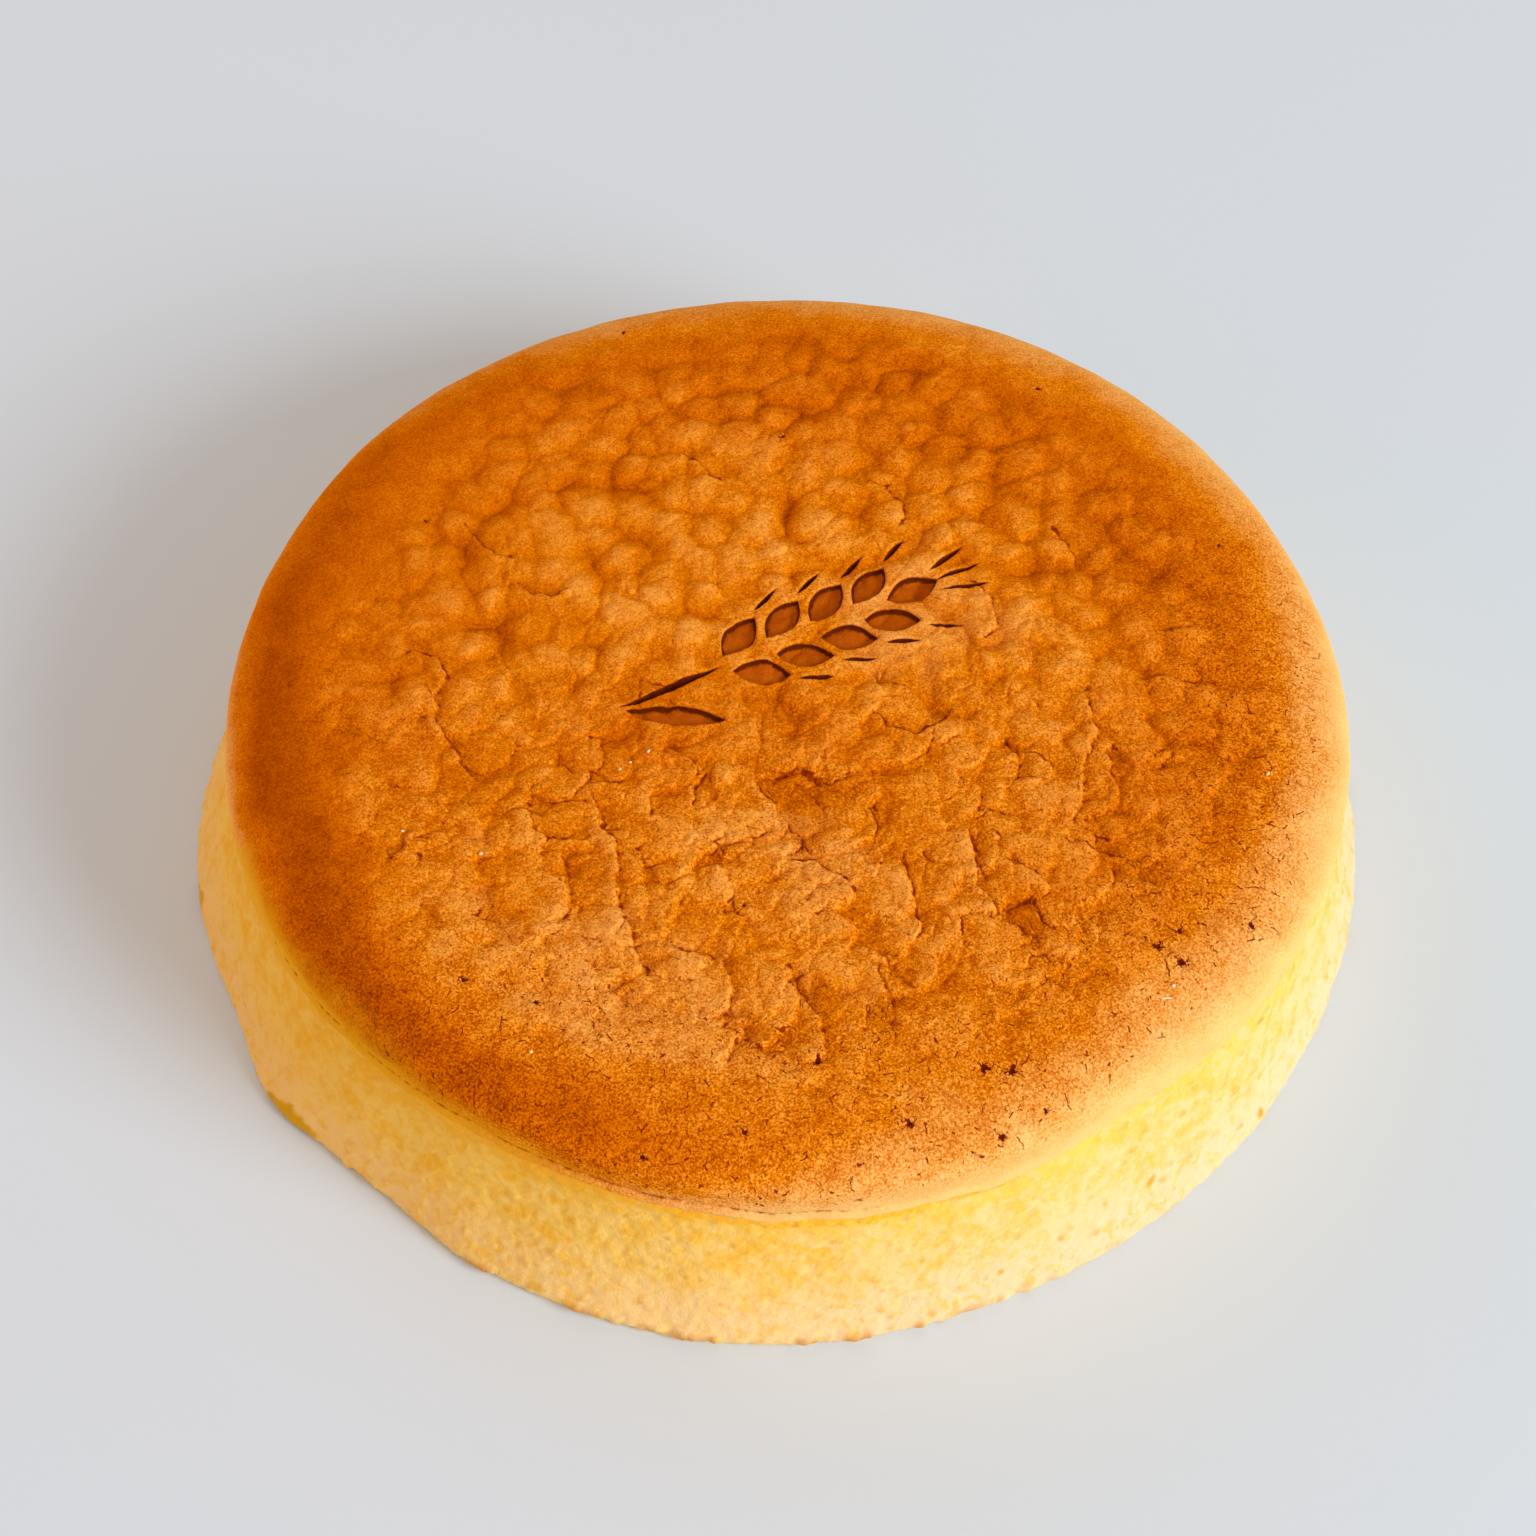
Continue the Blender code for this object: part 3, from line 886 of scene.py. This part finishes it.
def buildCrumbs(skins):
    # small uneven lumps, each resting on the skin right under it
    k = crumbLook
    skin = np.concatenate([np.array([v.co[:] for v in piece.data.vertices]) for piece in skins]) / mm
    skin = skin[skin[:, 2] > crustLook["underside"] + 2.0]
    around = 2.0 * math.pi * np.arange(k["around"]) / k["around"]
    tilt = np.linspace(-0.5 * math.pi, 0.5 * math.pi, k["rows"])[1:-1]
    turn, lift = (v.ravel() for v in np.meshgrid(around, tilt))
    unit = np.stack([np.cos(lift) * np.cos(turn), np.cos(lift) * np.sin(turn), np.sin(lift)], 1)
    unit = np.concatenate([unit, [[0.0, 0.0, -1.0], [0.0, 0.0, 1.0]]])
    rings = [np.arange(n * k["around"], (n + 1) * k["around"]) for n in range(len(tilt))]
    low = np.full(k["around"], len(unit) - 2)
    high = low + 1
    faces = [strip(rings[n], rings[n + 1]) for n in range(len(rings) - 1)]
    faces.append(np.stack([low, np.roll(rings[0], -1), rings[0]], 1))
    faces.append(np.stack([high, rings[-1], np.roll(rings[-1], -1)], 1))
    faces = np.concatenate(faces)
    points = []
    for number, (px, py, length, width, lean) in enumerate(k["crumbs"]):
        ux, uy, uz = unit.T
        bumps = 1.0 + k["bumps"] * rough(2.0 * ux + 9.0 * number, 2.0 * uy + uz, 1.0, 501, 2)
        lump = unit * bumps[:, None] * np.array([0.5 * length, 0.5 * width, 0.42 * width])
        side = math.cos(math.radians(lean))
        rise = math.sin(math.radians(lean))
        spunX = lump[:, 0] * side - lump[:, 1] * rise
        spunY = lump[:, 0] * rise + lump[:, 1] * side
        spun = np.stack([spunX, spunY, lump[:, 2]], 1)
        near = skin[np.argmin(np.hypot(skin[:, 0] - px, skin[:, 1] - py))]
        points.append(spun + np.array([px, py, near[2] + 0.28 * width]))
    count = len(unit)
    triangles = np.concatenate([faces + number * count for number in range(len(points))])
    return makeMesh("crumbs", np.concatenate(points), triangles)


# finishes
def workbench(name):
    material = bpy.data.materials.new(name)
    material.use_nodes = True
    tree = material.node_tree

    def put(node, socket, value):
        if isinstance(value, bpy.types.NodeSocket):
            tree.links.new(value, node.inputs[socket])
        else:
            node.inputs[socket].default_value = value

    def add(kind, sockets=None, **settings):
        node = tree.nodes.new("ShaderNode" + kind)
        for key, value in settings.items():
            setattr(node, key, value)
        for socket, value in (sockets or {}).items():
            put(node, socket, value)
        return node

    return material, add, put


def tools(add, put):
    # short names for the nodes that every finish uses
    def calc(operation, *values):
        return add("Math", dict(enumerate(values)), operation=operation).outputs[0]

    def times(one, other):
        return calc("MULTIPLY", one, other)

    def plus(one, other):
        return calc("ADD", one, other)

    def scaled(value, amount, start):
        return calc("MULTIPLY_ADD", value, amount, start)

    def swing(value, amount):
        # up to half the amount either way
        return scaled(value, amount, -0.5 * amount)

    def spread(value, low, high, start=0.0, end=1.0):
        sockets = {"Value": value, "From Min": low, "From Max": high, "To Min": start, "To Max": end}
        return add("MapRange", sockets, interpolation_type="SMOOTHSTEP").outputs["Result"]

    def noise(place, size, detail=2.0, roughness=0.5, warp=0.0):
        sockets = {
            "Vector": place, "Scale": 1.0 / (size * mm), "Detail": detail, "Roughness": roughness,
            "Distortion": warp,
        }
        return add("TexNoise", sockets).outputs["Fac"]

    def tint(value, stops):
        node = add("ValToRGB", {"Fac": value})
        elements = node.color_ramp.elements
        while len(elements) < len(stops):
            elements.new(0.5)
        for element, (position, colour) in zip(elements, stops):
            element.position = position
            element.color = (*colour, 1.0)
        return node.outputs["Color"]

    def blend(part, one, other, mode="MIX"):
        one, other = ((*c, 1.0) if isinstance(c, tuple) else c for c in (one, other))
        node = add("Mix", {0: part, 6: one, 7: other}, data_type="RGBA", blend_type=mode)
        return node.outputs[2]

    def carried(name):
        return add("Attribute", attribute_name=name).outputs["Fac"]

    def bumpy(shader, height, strength, depth):
        node = add("Bump", {"Height": height, "Strength": strength, "Distance": depth * mm})
        put(shader, "Normal", node.outputs["Normal"])

    return calc, times, plus, scaled, swing, spread, noise, tint, blend, carried, bumpy


crustFinishLook = {
    # colours in linear light, from the pale lip (0) to the deepest brown (1)
    # the three ramps below are picked by lightness, which follows the relief: partly uneven browning
    # and grain, partly painted shade in hollows and painted light on raised places
    "hollows": (
        (0.00, (0.80, 0.43, 0.110)), (0.25, (0.68, 0.20, 0.010)), (0.50, (0.50, 0.090, 0.000)),
        (0.75, (0.37, 0.056, 0.000)), (1.00, (0.26, 0.031, 0.000)),
    ),
    "middle": (
        (0.00, (0.92, 0.58, 0.190)), (0.25, (0.89, 0.38, 0.075)), (0.50, (0.76, 0.203, 0.000)),
        (0.75, (0.64, 0.136, 0.000)), (1.00, (0.46, 0.082, 0.000)),
    ),
    "highSpots": (
        (0.00, (0.97, 0.68, 0.290)), (0.25, (0.98, 0.56, 0.170)), (0.50, (0.97, 0.385, 0.012)),
        (0.75, (0.86, 0.24, 0.001)), (1.00, (0.68, 0.155, 0.000)),
    ),
    # a pinkish tan painted on the lightest spots: partly painted highlight, partly the grain's own
    # paler colour
    "blush": (0.99, 0.47, 0.150),
    "goldenLip": (0.85, 0.46, 0.014),
    "crease": (0.27, 0.031, 0.001),
    "pit": (0.14, 0.010, 0.001),
    "markFloor": (0.60, 0.120, 0.003),
    "markEdge": (0.065, 0.006, 0.001),
    "markBlotch": (0.3, 0.05, 0.003),
    # sizes in mm of the uneven browning, from coarse to fine
    "blotchSize": 6.0,
    "mottleSize": 3.4,
    "patchSize": 1.5,
    "grainSize": 0.40,
    # hair-thin cracks: net size, width and size of the noise that picks them in mm, then its range
    "wrinkles": (0.80, 0.12, 0.9, 0.50, 0.60),
    "cracks": (2.1, 0.17, 1.0, 0.60, 0.67),
    "splits": (3.2, 0.18, 1.5, 0.59, 0.63),
    "roughness": (0.62, 0.80),
    "bump": (0.7, 0.28),
}


def crustFinish():
    k = crustFinishLook
    material, add, put = workbench("brownedCrust")
    calc, times, plus, scaled, swing, spread, noise, tint, blend, carried, bumpy = tools(add, put)
    shader = material.node_tree.nodes["Principled BSDF"]
    place = add("TexCoord").outputs["Object"]
    toasted = carried("toast")
    gold = carried("gold")
    crazed = carried("crazed")

    blotch = noise(place, k["blotchSize"], 3.0, 0.6)
    patch = noise(place, k["patchSize"], 2.0, 0.6)
    grain = noise(place, k["grainSize"], 2.0, 0.65)
    mottle = noise(place, k["mottleSize"], 2.0, 0.5)
    dryness = scaled(crazed, 0.44, 0.31)
    dryness = times(dryness, spread(toasted, 0.0, 0.25, 0.35, 1.0))
    dryness = times(dryness, spread(gold, 0.0, 1.0, 1.0, 0.4))
    toast = plus(toasted, swing(blotch, 0.30))

    def hairlines(size, width, gate, low, high):
        # short curved cracks: pieces of a bent net, kept only where a second noise lets them through
        sockets = {"Vector": place, "Scale": 1.6 / (size * mm), "Detail": 3.0}
        stray = add("TexNoise", sockets).outputs["Color"]
        stray = add("VectorMath", {0: stray, 1: (0.5, 0.5, 0.5)}, operation="SUBTRACT").outputs[0]
        stray = add("VectorMath", {0: stray, "Scale": 0.5 * size * mm}, operation="SCALE").outputs[0]
        bent = add("VectorMath", {0: place, 1: stray}, operation="ADD").outputs[0]
        sockets = {"Vector": bent, "Scale": 1.0 / (size * mm)}
        net = add("TexVoronoi", sockets, feature="DISTANCE_TO_EDGE", voronoi_dimensions="2D")
        line = spread(net.outputs["Distance"], width / size, 0.4 * width / size)
        return times(line, spread(noise(place, gate, 1.0), low, high))

    wrinkles = times(hairlines(*k["wrinkles"]), spread(toasted, 0.08, 0.30))
    cracks = times(hairlines(*k["cracks"]), spread(crazed, 0.20, 0.85, 0.0, 0.85))
    cracks = times(cracks, spread(calc("SUBTRACT", toasted, gold), 0.10, 0.34))
    splits = times(hairlines(*k["splits"]), spread(crazed, 0.72, 0.92))
    cracks = calc("MAXIMUM", cracks, times(splits, spread(toasted, 0.06, 0.25)))
    speckle = plus(swing(grain, 4.0), swing(patch, 1.0))
    speckle = plus(speckle, swing(mottle, 1.0))
    speckle = times(plus(speckle, scaled(wrinkles, -0.50, 0.04)), dryness)
    # raised places are painted paler and hollows darker: partly painted light and painted shade on the
    # relief, partly uneven browning
    broad = scaled(carried("raised"), 0.66, 0.175)
    lightness = add("Clamp", {"Value": plus(broad, speckle)}).outputs[0]
    lower = add("MapRange", {"Value": lightness, "From Max": 0.5}).outputs[0]
    upper = add("MapRange", {"Value": lightness, "From Min": 0.5}).outputs[0]
    colour = blend(lower, tint(toast, k["hollows"]), tint(toast, k["middle"]))
    colour = blend(upper, colour, tint(toast, k["highSpots"]))
    # pinkish tan on the lightest spots and raised places: partly painted highlight, partly the grain's
    # own paler colour
    blush = spread(scaled(speckle, 0.5, broad), 0.50, 1.10, 0.0, 0.55)
    colour = blend(times(blush, spread(toast, 0.85, 0.45)), colour, k["blush"])
    colour = blend(times(gold, 0.85), colour, k["goldenLip"])
    # the crease colour along the crease mask: partly real cracks, partly painted shade in grooves and
    # at the feet of steps
    torn = scaled(noise(place, 1.2, 1.0), 1.8, -0.05)
    deep = spread(times(carried("crease"), torn), 0.25, 0.75)
    dark = calc("MAXIMUM", cracks, deep)
    colour = blend(dark, colour, k["crease"])

    # pits: an uneven dark middle with a few thin bent legs of unequal length
    px = carried("pitX")
    py = carried("pitY")
    number = carried("pitTurn")
    away = calc("SQRT", plus(times(px, px), times(py, py)))
    stray = plus(noise(place, 0.8, 2.0), -0.5)
    bearing = calc("ARCTAN2", py, px)
    bend = calc("SINE", scaled(number, 1.7, bearing))
    bearing = plus(bearing, times(bend, 0.45))
    wave = scaled(bearing, 2.0, scaled(number, 2.3, times(stray, 6.0)))
    legs = times(calc("ABSOLUTE", calc("SINE", wave)), away)
    sockets = {0: calc("DIVIDE", px, away), 1: calc("DIVIDE", py, away), 2: times(number, 3.7)}
    aim = add("CombineXYZ", sockets).outputs[0]
    reach = add("TexNoise", {"Vector": aim, "Scale": 1.3, "Detail": 1.0}).outputs["Fac"]
    reach = spread(reach, 0.35, 0.62, 0.55, 1.75)
    width = scaled(calc("DIVIDE", away, reach), -0.24, 0.24)
    legs = spread(calc("SUBTRACT", legs, width), 0.06, -0.06)
    pit = calc("MAXIMUM", legs, spread(scaled(stray, 1.1, away), 0.36, 0.20))
    colour = blend(pit, colour, k["pit"])

    inside = carried("markIn")
    floor = spread(inside, -0.05, 0.12)
    # the burnt edge of each pressed piece, and thin strokes burnt all over
    edge = times(floor, spread(scaled(patch, -0.9, plus(inside, 0.45)), 0.85, 0.30))
    edge = calc("MAXIMUM", edge, times(floor, carried("markBurnt")))
    pressed = blend(edge, k["markFloor"], k["markEdge"])
    pressed = blend(scaled(patch, 0.6, -0.1), pressed, k["markBlotch"])
    colour = blend(floor, colour, pressed)
    put(shader, "Base Color", colour)

    relief = scaled(grain, 0.5, times(patch, 0.5))
    relief = calc("SUBTRACT", relief, scaled(wrinkles, 0.25, times(dark, 0.25)))
    bumpy(shader, relief, *k["bump"])
    put(shader, "Roughness", spread(grain, 0.3, 0.7, *k["roughness"]))
    put(shader, "Specular IOR Level", 0.0)
    return material


spongeFinishLook = {
    # colours in linear light
    "pale": (0.96, 0.71, 0.265),
    "golden": (0.96, 0.61, 0.090),
    # painted shade: the warm colours are for the side away from the lamp
    "warmPale": (0.91, 0.590, 0.100),
    "warmGolden": (0.89, 0.48, 0.025),
    # painted light: brighter yellow for the side facing the lamp
    "sunny": (0.96, 0.68, 0.085),
    # painted shade: deeper gold near the top of the side away from the lamp
    "goldenTop": (0.88, 0.47, 0.016),
    "creamFoot": (0.94, 0.73, 0.380),
    # painted shade: the foot's colour for the side away from the lamp
    "warmFoot": (0.90, 0.60, 0.200),
    "moist": (0.99, 0.49, 0.025),
    "stain": (0.68, 0.37, 0.003),
    "notch": (0.50, 0.20, 0.015),
    "pore": (0.88, 0.50, 0.070),
    # painted light: green cut on the side facing the lamp
    "sunnyShade": (1.0, 0.90, 1.0),
    # sizes in mm of the uneven colour, from coarse to fine, and how strong the first three are
    "broad": 7.0,
    "clumps": 2.6,
    "crumb": 0.9,
    "fine": 0.4,
    "strengths": (2.8, 3.0, 1.1),
    "roughness": (0.6, 0.8),
    "bump": (0.42, 0.45),
    "shine": 0.12,
    # light let in: how much, red, green and blue reach, and the reach's length in mm
    "glow": (0.25, (1.0, 0.5, 0.15), 2.5),
}


def spongeFinish():
    k = spongeFinishLook
    material, add, put = workbench("yellowSponge")
    _, times, plus, scaled, swing, spread, noise, _, blend, carried, bumpy = tools(add, put)
    shader = material.node_tree.nodes["Principled BSDF"]
    place = add("TexCoord").outputs["Object"]
    down = carried("down")
    broad = noise(place, k["broad"], 2.0, 0.6)
    clumps = noise(place, k["clumps"], 2.0, 0.6, 0.6)
    crumb = noise(place, k["crumb"], 3.0, 0.65)
    fine = noise(place, k["fine"], 2.0, 0.6)
    golden = spread(down, 26.0, 4.0, 0.20, 0.60)
    for unevenness, strength in zip((broad, clumps, crumb), k["strengths"]):
        golden = plus(golden, swing(unevenness, strength))
    golden = add("Clamp", {"Value": golden}).outputs[0]
    # painted shade: the side away from the lamp takes the warm colours
    warm = carried("warm")
    colour = blend(golden, blend(warm, k["pale"], k["warmPale"]),
                   blend(warm, k["golden"], k["warmGolden"]))
    # painted light: near the lip, the side facing the lamp is painted a brighter yellow
    nearLip = spread(plus(down, times(broad, 12.0)), 20.0, 10.0)
    sunny = times(times(carried("sunny"), nearLip), spread(clumps, 0.38, 0.58, 0.2, 1.0))
    colour = blend(sunny, colour, k["sunny"])
    # painted shade: a deeper gold near the top of the side away from the lamp
    goldenTop = times(times(warm, spread(clumps, 0.30, 0.55, 0.4, 1.0)),
                      spread(scaled(broad, 8.0, down), 17.0, 8.0, 0.0, 0.9))
    colour = blend(goldenTop, colour, k["goldenTop"])
    creamy = times(spread(down, 17.0, 28.0, 0.0, 0.9), spread(clumps, 0.68, 0.42, 0.3, 1.0))
    colour = blend(creamy, colour, blend(warm, k["creamFoot"], k["warmFoot"]))
    colour = blend(times(carried("pore"), 0.7), colour, k["pore"])
    colour = blend(times(carried("notch"), 0.75), colour, k["notch"])
    colour = blend(carried("stain"), colour, k["stain"])
    # painted light: the side facing the lamp has its green cut
    colour = blend(carried("sunny"), colour, k["sunnyShade"], "MULTIPLY")
    flecks = times(carried("moist"), spread(noise(place, 1.1, 2.0), 0.66, 0.54))
    colour = blend(flecks, colour, k["moist"])
    put(shader, "Base Color", colour)
    bumpy(shader, scaled(fine, 0.35, crumb), *k["bump"])
    put(shader, "Roughness", spread(crumb, 0.3, 0.7, *k["roughness"]))
    put(shader, "Specular IOR Level", k["shine"])
    weight, reach, scale = k["glow"]
    put(shader, "Subsurface Weight", weight)
    put(shader, "Subsurface Radius", reach)
    put(shader, "Subsurface Scale", scale * mm)
    return material


def crumbFinish():
    # pale dry crumb, browner in patches
    k = crumbLook
    material, add, put = workbench("paleCrumb")
    _, _, _, _, _, spread, noise, _, blend, _, _ = tools(add, put)
    shader = material.node_tree.nodes["Principled BSDF"]
    place = add("TexCoord").outputs["Object"]
    shade = spread(noise(place, 0.5, 2.0), 0.35, 0.65)
    put(shader, "Base Color", blend(shade, k["brown"], k["pale"]))
    put(shader, "Roughness", k["roughness"])
    return material


# the stage
stageLook = {
    "floorSize": 16.0,
    "floorColour": (0.68, 0.80, 0.90),
    "cameraDistance": 0.558,
    "cameraLift": 54.52,
    "cameraAim": (-0.0031, -0.0097, 0.030),
    "lens": 74.4,
    "worldColour": (0.60, 0.50, 0.43),
    "worldStrength": 0.90,
    # name, place in m, size across, power and colour
    "lamps": (
        ("rightKey", (1.814, -1.134, 1.09), 1.2, 49.0, (0.92, 0.95, 1.0)),
        ("leftFill", (-1.09, -0.29, 0.41), 0.9, 2.3, (1.0, 0.28, 0.02)),
        ("backGlow", (-0.9, 1.25, 0.8), 1.2, 4.0, (1.0, 0.96, 1.0)),
        ("frontFill", (-0.35, -1.20, 0.20), 0.8, 1.0, (1.0, 0.96, 0.90)),
    ),
    "lampAim": 0.02,
}


def buildStage(middle):
    k = stageLook
    bpy.ops.mesh.primitive_plane_add(size=k["floorSize"])
    floor = bpy.context.object
    floor.name = "floor"
    material, _, put = workbench("paleFloor")
    shader = material.node_tree.nodes["Principled BSDF"]
    put(shader, "Base Color", (*k["floorColour"], 1.0))
    put(shader, "Roughness", 0.6)
    floor.data.materials.append(material)

    world = bpy.data.worlds.new("softRoom")
    bpy.context.scene.world = world
    world.use_nodes = True
    background = world.node_tree.nodes["Background"].inputs
    background["Color"].default_value = (*k["worldColour"], 1)
    background["Strength"].default_value = k["worldStrength"]

    for name, spot, size, power, colour in k["lamps"]:
        light = bpy.data.lights.new(name, "AREA")
        light.shape = "DISK"
        light.size = size
        light.energy = power
        light.color = colour
        lamp = bpy.data.objects.new(name, light)
        lamp.location = spot
        lamp.rotation_euler = (middle - lamp.location).to_track_quat("-Z", "Y").to_euler()
        bpy.context.collection.objects.link(lamp)

    camera = bpy.data.objects.new("camera", bpy.data.cameras.new("camera"))
    lift = math.radians(k["cameraLift"])
    base = Vector((middle.x, middle.y, 0.0))
    camera.location = base + Vector((0.0, -math.cos(lift), math.sin(lift))) * k["cameraDistance"]
    aim = base + Vector(k["cameraAim"])
    camera.rotation_euler = (aim - camera.location).to_track_quat("-Z", "Y").to_euler()
    camera.data.lens = k["lens"]
    camera.data.sensor_width = 36.0
    bpy.context.collection.objects.link(camera)
    bpy.context.scene.camera = camera
    bpy.context.scene.view_settings.view_transform = "Standard"


# putting it together
def centreShift(piece):
    # the frame's box is centred, so every piece slides by what centres the foot
    low = np.array([v.co[:] for v in piece.data.vertices])
    return 0.5 * (low.min(0) + low.max(0))


print("cake stands", round((cakeHigh[2] - cakeLow[2]) / mm, 1), "mm tall")
crustPieces = buildCrust()
print("crust shaped")
sponge = buildSponge()
print("sponge shaped")
crumbs = buildCrumbs(crustPieces)
print("crumbs shaped")
shift = Vector((*centreShift(sponge)[:2], 0.0))
for piece in crustPieces + [sponge, crumbs]:
    piece.data.transform(Matrix.Translation(-shift))
crustSkin = crustFinish()
for piece in crustPieces:
    piece.data.materials.append(crustSkin)
sponge.data.materials.append(spongeFinish())
crumbs.data.materials.append(crumbFinish())
for piece in crustPieces + [sponge, crumbs]:
    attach(piece, "root")
    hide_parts("cheesecake")
buildStage(-shift + Vector((0, 0, stageLook["lampAim"])))
print("stage set")
